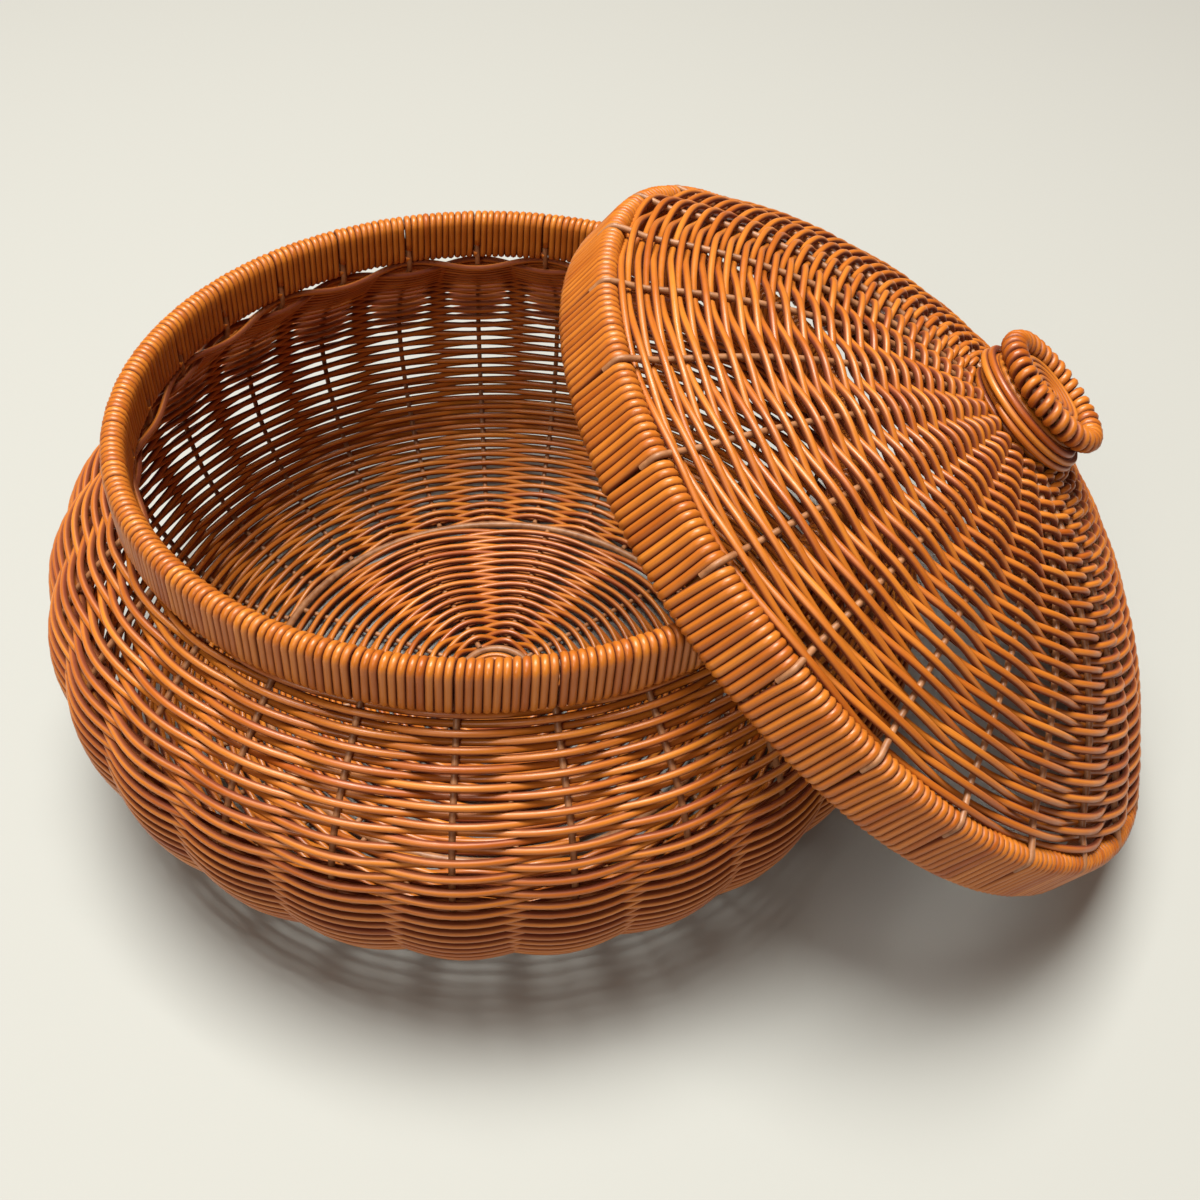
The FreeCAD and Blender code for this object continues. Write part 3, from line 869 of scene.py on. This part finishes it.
@dataclass
class Basket:
    """Round-bellied basket: woven wall, woven base and bound rim. Sizes are in metres and degrees."""

    stakes: Wires = Wires(27, 4.3, 0.0024)
    strand_dia: float = 0.0028
    hoop_dia: float = 0.0036
    wall: float = 0.0084
    foot_radius: float = 0.108
    belly_radius: float = 0.183
    belly_height: float = 0.080
    neck_radius: float = 0.142
    neck_slope_share: float = 1.45
    hoop_seat: float = 0.0042
    rim_band: float = 0.023
    rim_width: float = 0.0095
    rim_loops: int = 11
    rim_notch: float = 0.0005
    base_spokes: int = 9
    base_swing: float = 0.0026
    base_wander: float = 0.0002
    base_quickness: float = 0.3
    base_tint: float = 0.45
    base_tint_spread: float = 0.3
    base_tint_quickness: float = 0.05
    base_steps: int = 16
    base_eye_start: float = 0.12
    base_eye_points: int = 160
    tight_row: float = 0.00265
    loose_row: float = 0.0031
    loose_start: float = 0.128
    loose_end: float = 0.192
    loose_power: float = 0.7

    def rim_foot(self) -> float:
        """Height of the rim band's lower edge, from the upper hoop inside it."""
        upper, _ = hoop_place("rim_upper_hoop")
        return upper.z + self.hoop_seat - self.rim_band

    def wall_outline(self) -> Outline:
        """Outline of the wall along its stakes.

        Foot and flank arcs with equal tangents lead from the level foot to the upright belly, then
        a shoulder arc leads to a straight neck.

        Returns:
            The outline.
        """
        run, rise = self.belly_radius - self.foot_radius, self.belly_height
        leg = (math.sqrt((run + rise) ** 2 + 2 * (run ** 2 + rise ** 2)) - run - rise) / 2
        turn = math.atan2(rise - leg, run - leg)
        foot, flank = leg / math.tan(turn / 2), leg / math.tan((math.pi / 2 - turn) / 2)
        foot_mid, foot_end = math.degrees(turn) / 2 - 90, math.degrees(turn) - 90
        neck_up = self.rim_foot() - rise
        neck_in = self.belly_radius - self.neck_radius
        slope = math.atan2(neck_in, neck_up) * self.neck_slope_share
        shoulder = (neck_up * math.sin(slope) - neck_in * math.cos(slope)) / (1 - math.cos(slope))
        arcs = [
            Arc(self.foot_radius, foot, foot, -90, foot_mid),
            Arc(self.foot_radius, foot, foot, foot_mid, foot_end),
            Arc(self.belly_radius - flank, rise, flank, foot_end, 0),
            Arc(self.belly_radius - shoulder, rise, shoulder, 0, math.degrees(slope)),
        ]
        inset = self.wall / 2
        neck = (neck_up - (shoulder - inset) * math.sin(slope)) / math.cos(slope)
        return Outline(arcs, inset, neck)

    def row_height(self, length: Array) -> Array:
        """Height of a row: close at foot and rim, looser over the shoulder, with a smooth change."""
        share = np.clip((length - self.loose_start) / (self.loose_end - self.loose_start), 0, 1)
        looseness = np.sin(math.pi * share) ** self.loose_power
        return self.tight_row + (self.loose_row - self.tight_row) * looseness

    def build_wall(self, finishes: Finishes) -> None:
        """Weave the wall as one strand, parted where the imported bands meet."""
        outline = self.wall_outline()
        weave = PlainWeave(outline, self.stakes, self.strand_dia, self.row_height, Seed.WALL)
        run, along = weave.run(0.0, outline.length[-1])
        names = ("foot", "lower", "belly", "shoulder", "neck")
        cuts = np.searchsorted(along, outline.marks)
        for name, first, last in zip(names, cuts, cuts[1:]):
            strands = StrandMesh()
            strands.add(part_of(run, first, last + 1), self.strand_dia / 2)
            piece = strands.build(f"{name}_strands")
            dress(piece, finishes.weave, Body.BASKET, Slot.WEAVE, f"{name}_weave")

    def build_base(self, finishes: Finishes) -> None:
        """Weave the base as a spiral about its spokes, with a flat spiral inside the ring."""
        centre, hoop_outside = hoop_place("base_hoop")
        _, ring_outside = hoop_place("base_ring")
        strand = self.strand_dia
        spokes = Wires(self.base_spokes, 0.0, self.stakes.dia)
        start, end = ring_outside + strand / 2, hoop_outside - self.hoop_dia - strand / 2
        turns = (end - start) / strand
        phi = np.arange(0.0, turns * FULL_TURN, spokes.step / self.base_steps)
        off = self.base_swing * np.cos(spokes.count * phi / 2)
        sway = self.base_wander * wander(phi, Seed.BASE_ROWS, self.base_quickness)
        radius = start + strand * phi / FULL_TURN + sway
        facing = about_axis(0 * phi, 0 * phi + 1, phi)
        stray = wander(phi, Seed.BASE_TINT, self.base_tint_quickness)
        tint = np.clip(self.base_tint + self.base_tint_spread * stray, 0, 1)
        strands = StrandMesh()
        strands.add(Run(about_axis(radius, centre.z + off, phi), facing, tint), strand / 2)
        inner = ring_outside - self.hoop_dia - strand / 2
        turns = np.linspace(self.base_eye_start, inner / strand, self.base_eye_points)
        flat = np.ones_like(turns)
        eye = coil(turns, strand * turns, centre.z * flat, FACING_UP_SHARE * flat, Seed.BASE_EYE)
        strands.add(eye, strand / 2)
        piece = strands.build("base_strands")
        dress(piece, finishes.weave, Body.BASKET, Slot.WEAVE, "base_weave")

    def build_rim(self, finishes: Finishes) -> None:
        """Wind the rim's binding."""
        _, outside = hoop_place("rim_upper_hoop")
        radius = outside - self.hoop_dia / 2
        binding = Binding(
            radius, self.rim_foot(), self.rim_band, self.rim_width, self.rim_loops, self.stakes,
            self.rim_notch, self.rim_notch, Seed.RIM,
        )
        piece = binding.mesh().build("rim_binding")
        dress(piece, finishes.edge, Body.BASKET, Slot.EDGE, "rim_wrap")

    def build(self, finishes: Finishes) -> None:
        """Make and dress every piece of the basket."""
        self.build_wall(finishes)
        self.build_base(finishes)
        self.build_rim(finishes)
        dress_wires(
            finishes.wire,
            "base_hoop", "base_ring", "base_spokes", "side_stakes", "rim_lower_hoop", "rim_upper_hoop",
        )


@dataclass
class Lid:
    """Domed lid: woven dome, bound edge, and a wound knob. Sizes are in metres and degrees."""

    spokes: Wires = Wires(25, 11.4, 0.0024)
    strand_dia: float = 0.0028
    hoop_dia: float = 0.0036
    wall: float = 0.0084
    band: float = 0.028
    band_width: float = 0.0095
    loops: int = 12
    notch_low: float = 0.0006
    notch_top: float = 0.0030
    dome_edge_radius: float = 0.160
    dome_edge_gap: float = 0.0003
    dome_mid_radius: float = 0.091
    dome_mid_height: float = 0.070
    crown_radius: float = 0.024
    crown_height: float = 0.087
    row: float = 0.0030
    crown_row: float = 0.0028
    crown_row_start: float = 0.15
    middle_share: float = 0.36
    crown_share: float = 0.68
    collar_radius: float = 0.0272
    collar_turns: float = 2.3
    collar_step_in: float = 0.0007
    collar_first_turn: float = 0.6
    collar_end_tuck: float = 0.0035
    collar_end_turns: float = 0.12
    collar_start_tuck: float = 0.0025
    collar_start_turns: float = 0.1
    collar_steps: int = 72
    plug_start: float = 0.1
    plug_steps: int = 36
    plug_facing_shares: tuple[float, float, float, float] = (-0.99, -0.7, 0.7, 0.99)
    knob_wire_dia: float = 0.0024
    knob_loop_step: float = 0.00425
    knob_strand_dia: float = 0.0037
    knob_points: int = 16
    knob_uneven: float = 0.00012
    knob_tint: float = 0.5
    knob_tint_spread: float = 0.12
    knob_closing_share: float = 0.997
    eye_gap: float = 0.0002
    eye_start: float = 0.15
    eye_points: int = 220
    eye_dip: float = 0.0012
    snug_share: float = 0.52
    placing: Matrix = field(init=False)
    hoop_radius: float = field(init=False)
    knob_radius: float = field(init=False)
    knob_height: float = field(init=False)
    knob_loops: int = field(init=False)
    eye_radius: float = field(init=False)

    def __post_init__(self) -> None:
        """Read the leaning lid's place from its hoops and knob ring, which share its axis."""
        lower, lower_outside = hoop_place("lid_lower_hoop")
        upper, _ = hoop_place("lid_upper_hoop")
        knob, knob_outside = hoop_place("knob_ring")
        axis = (knob - lower).normalized()
        across = Vector((0, 1, 0))
        down_slope = across.cross(axis)
        base = (lower + upper) / 2 - axis * (self.band / 2)
        self.placing = Matrix((down_slope, across, axis)).transposed().to_4x4()
        self.placing.translation = base
        self.hoop_radius = lower_outside - self.hoop_dia / 2
        self.knob_radius = knob_outside - self.knob_wire_dia / 2
        self.knob_height = (knob - base).dot(axis)
        self.knob_loops = round(FULL_TURN * self.knob_radius / self.knob_loop_step)
        knob_hole = self.knob_radius - self.knob_wire_dia / 2 - self.knob_strand_dia
        self.eye_radius = knob_hole - self.snug_share * self.strand_dia - self.eye_gap

    def dome_arc(self) -> Arc:
        """Arc through the dome's edge, middle and crown, by the equations of a circle."""
        radius = np.array([self.dome_edge_radius, self.dome_mid_radius, self.crown_radius])
        height = np.array([self.band + self.dome_edge_gap, self.dome_mid_height, self.crown_height])
        terms = np.stack([2 * radius, 2 * height, np.ones(3)], axis=1)
        across, up, rest = np.linalg.solve(terms, radius ** 2 + height ** 2)
        bend = math.sqrt(rest + across ** 2 + up ** 2)
        angles = np.degrees(np.arctan2(height - up, radius - across))
        return Arc(across, up, bend, angles[0], angles[2])

    def dome_height(self, radius: float) -> float:
        """Height of the dome's outside at a radius."""
        arc = self.dome_arc()
        return arc.centre_height + math.sqrt(arc.bend ** 2 - (radius - arc.centre_radius) ** 2)

    def build_dome(self, finishes: Finishes) -> None:
        """Weave the dome as one strand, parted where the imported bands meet."""
        outline = Outline([self.dome_arc()], self.wall / 2)
        end = outline.length[-1]
        start = self.strand_dia / 2
        weave = PlainWeave(outline, self.spokes, self.strand_dia, self.row_height, Seed.DOME)
        run, along = weave.run(start, end - self.strand_dia / 2)
        names = ("edge", "middle", "crown")
        cuts = np.searchsorted(along, np.array([0, self.middle_share, self.crown_share, 1]) * end)
        for name, first, last in zip(names, cuts, cuts[1:]):
            strands = StrandMesh()
            strands.add(part_of(run, first, last + 1), self.strand_dia / 2)
            piece = strands.build(f"lid_{name}_strands", self.placing)
            dress(piece, finishes.weave, Body.LID, Slot.WEAVE, f"lid_{name}_weave")

    def row_height(self, length: Array) -> Array:
        """Height of a row: looser near the edge, closer at the crown."""
        share = np.clip(length / self.crown_row_start, 0, 1)
        return self.row + (self.crown_row - self.row) * share

    def build_edge(self, finishes: Finishes) -> None:
        """Wind the binding of the lid's edge."""
        binding = Binding(
            self.hoop_radius, 0.0, self.band, self.band_width, self.loops, self.spokes,
            self.notch_low, self.notch_top, Seed.LID_EDGE,
        )
        piece = binding.mesh().build("lid_binding", self.placing)
        dress(piece, finishes.edge, Body.LID, Slot.EDGE, "lid_rim_wrap")

    def build_plug(self, finishes: Finishes) -> None:
        """Wind the crown plug: a flat spiral out below, a helix up its side and a spiral in on top."""
        strand = self.strand_dia
        foot = self.crown_height - 2 * strand - self.spokes.dia + strand / 2
        top = self.knob_height - self.knob_strand_dia - strand
        reach = self.crown_radius - strand / 2
        out_turns = reach / strand
        up_turns = (top - foot) / strand
        side_end = out_turns + up_turns
        ends = np.array([self.plug_start, out_turns, side_end, side_end + out_turns - self.plug_start])
        turns = np.arange(ends[0], ends[-1], 1 / self.plug_steps)
        tip = strand * self.plug_start
        radius = np.interp(turns, ends, [tip, reach, reach, tip])
        height = np.interp(turns, ends, [foot, foot, top, top])
        facing_up = np.interp(turns, ends, self.plug_facing_shares)
        strands = StrandMesh()
        strands.add(coil(turns, radius, height, facing_up, Seed.PLUG), strand / 2)
        piece = strands.build("crown_plug_strand", self.placing)
        dress(piece, finishes.knob, Body.LID, Slot.KNOB, "crown_plug")

    def build_collar(self, finishes: Finishes) -> None:
        """Wind the collar: a rising coil that narrows a little, its ends tucked in."""
        strand = self.strand_dia
        turns = np.linspace(0, self.collar_turns, int(self.collar_turns * self.collar_steps))
        to_end = (turns - self.collar_turns) / self.collar_end_turns + 1
        tuck = self.collar_end_tuck * np.clip(to_end, 0, 1) ** 2
        tuck += self.collar_start_tuck * np.clip(1 - turns / self.collar_start_turns, 0, 1) ** 2
        radius = self.collar_radius - self.collar_step_in * turns - tuck
        height = self.dome_height(self.collar_radius) + strand / 2 + strand * turns
        strands = StrandMesh(sides=10)
        wound = coil(turns + self.collar_first_turn, radius, height, 0 * turns, Seed.COLLAR)
        strands.add(wound, strand * self.snug_share)
        piece = strands.build("collar_strand", self.placing)
        dress(piece, finishes.knob, Body.LID, Slot.KNOB, "collar_coil")

    def build_knob(self, finishes: Finishes) -> None:
        """Wind the knob ring: a helix about a ring, R + m cos q out and m sin q up, q one turn a loop."""
        steps = self.knob_loops * self.knob_points
        share = np.arange(steps + 1) / steps
        loop = share * self.knob_loops
        minor = (self.knob_wire_dia + self.knob_strand_dia) / 2
        draw = np.random.default_rng(Seed.KNOB)
        swell = draw.normal(0, self.knob_uneven, self.knob_loops + 1)
        off = minor + np.interp(loop, np.arange(self.knob_loops + 1), swell)
        about = -FULL_TURN * loop - math.pi / 2
        turn = FULL_TURN * share * self.knob_closing_share
        out, up = np.cos(about), np.sin(about)
        points = about_axis(self.knob_radius + off * out, self.knob_height + off * up, turn)
        level = np.floor(loop).astype(int).clip(0, self.knob_loops - 1)
        tints = draw.normal(self.knob_tint, self.knob_tint_spread, self.knob_loops)
        tint = np.clip(tints, 0, 1)[level]
        strands = StrandMesh()
        strands.add(Run(points, about_axis(out, up, turn), tint), self.knob_strand_dia / 2)
        piece = strands.build("knob_binding", self.placing)
        dress(piece, finishes.knob, Body.LID, Slot.KNOB, "knob_wrap")

    def build_eye(self, finishes: Finishes) -> None:
        """Wind the knob's eye: a spiral that closes the hole, a little lower in the middle."""
        strand = self.strand_dia
        turns = np.linspace(self.eye_start, self.eye_radius / strand, self.eye_points)
        radius = strand * turns
        share = radius / self.eye_radius
        height = self.knob_height - self.knob_wire_dia / 2 + self.eye_dip * share ** 2
        strands = StrandMesh()
        wound = coil(turns, radius, height, FACING_UP_SHARE + 0 * turns, Seed.KNOB_EYE)
        strands.add(wound, strand * self.snug_share)
        piece = strands.build("knob_eye_strand", self.placing)
        dress(piece, finishes.knob, Body.LID, Slot.KNOB, "knob_eye")

    def build(self, finishes: Finishes) -> None:
        """Make and dress every piece of the lid."""
        self.build_dome(finishes)
        self.build_edge(finishes)
        self.build_plug(finishes)
        self.build_collar(finishes)
        self.build_knob(finishes)
        self.build_eye(finishes)
        dress_wires(finishes.wire, "lid_spokes", "lid_lower_hoop", "lid_upper_hoop", "knob_ring")


@dataclass(frozen=True)
class SoftLight:
    """Square soft light.

    Attributes:
        name: Name of the light.
        place: Where it stands, in metres.
        side: Its side, in metres.
        power: Its power, in watts.
        colour: Its colour.
    """

    name: str
    place: tuple[float, float, float]
    side: float
    power: float
    colour: tuple[float, float, float]

    def build(self, target: tuple[float, float, float]) -> None:
        """Add the light, turned to a target."""
        data = bpy.data.lights.new(self.name, "AREA")
        data.size = self.side
        data.energy = self.power
        data.color = self.colour
        light = bpy.data.objects.new(self.name, data)
        light.location = self.place
        way = Vector(target) - Vector(self.place)
        light.rotation_euler = way.to_track_quat("-Z", "Y").to_euler()
        bpy.context.scene.collection.objects.link(light)


@dataclass
class Studio:
    """Floor, lights and camera. Lengths are in metres, turns in radians."""

    eye: tuple[float, float, float] = (0.04725, -0.42384, 0.47787)
    pan: float = 0.0004
    tilt: float = 0.7823
    roll: float = 0.0498
    focal_pixels: float = 1339.9
    floor_side: float = 12.0
    floor: FloorFinish = FloorFinish("pale floor", (0.342, 0.367, 0.367))
    sky: tuple[float, float, float] = (1.0, 0.52, 0.32)
    sky_strength: float = 0.22
    clip_range: tuple[float, float] = (0.01, 100.0)
    target: tuple[float, float, float] = (0.05, 0, 0.1)
    lights: tuple[SoftLight, ...] = (
        SoftLight("top", (-0.3, 0.2, 3.0), 1.6, 205.0, (1.0, 0.95, 0.86)),
        SoftLight("front", (-1.2, -2.6, 2.4), 1.2, 34.0, (1.0, 0.94, 0.84)),
    )

    def build_camera(self) -> None:
        """Set the camera, which looks along (sin pan cos tilt, cos pan cos tilt, -sin tilt) and rolls."""
        ahead = Vector((
            math.sin(self.pan) * math.cos(self.tilt),
            math.cos(self.pan) * math.cos(self.tilt),
            -math.sin(self.tilt),
        ))
        right = ahead.cross(Vector((0, 0, 1))).normalized()
        above = right.cross(ahead)
        turned_right = right * math.cos(self.roll) + above * math.sin(self.roll)
        turned_above = above * math.cos(self.roll) - right * math.sin(self.roll)
        data = bpy.data.cameras.new("camera")
        data.sensor_width = SENSOR_WIDTH_MM
        data.lens = SENSOR_WIDTH_MM * self.focal_pixels / IMAGE_PIXELS
        data.clip_start, data.clip_end = self.clip_range
        camera = bpy.data.objects.new("camera", data)
        camera.matrix_world = Matrix.Translation(self.eye) @ Matrix(
            (turned_right, turned_above, -ahead)
        ).transposed().to_4x4()
        bpy.context.scene.collection.objects.link(camera)
        bpy.context.scene.camera = camera

    def build_floor(self) -> None:
        """Lay the floor just under the object."""
        half = self.floor_side / 2
        mesh = bpy.data.meshes.new("floor")
        corners = [(-half, -half, 0), (half, -half, 0), (half, half, 0), (-half, half, 0)]
        mesh.from_pydata(corners, [], [(0, 1, 2, 3)])
        mesh.materials.append(self.floor.material())
        floor = bpy.data.objects.new("floor", mesh)
        bpy.context.scene.collection.objects.link(floor)

    def build(self) -> None:
        """Set floor, sky, lights and camera."""
        self.build_floor()
        world = bpy.data.worlds.new("studio")
        world.use_nodes = True
        sky = world.node_tree.nodes["Background"]
        sky.inputs["Color"].default_value = (*self.sky, 1.0)
        sky.inputs["Strength"].default_value = self.sky_strength
        bpy.context.scene.world = world
        for light in self.lights:
            light.build(self.target)
        bpy.context.scene.view_settings.view_transform = "Standard"
        self.build_camera()


def main() -> None:
    """Build the studio, the basket and the lid in order."""
    logging.basicConfig(level=logging.INFO, format="%(message)s")
    Studio().build()
    finishes = Finishes.make()
    Basket().build(finishes)
    Lid().build(finishes)


if __name__ == "__main__":
    main()
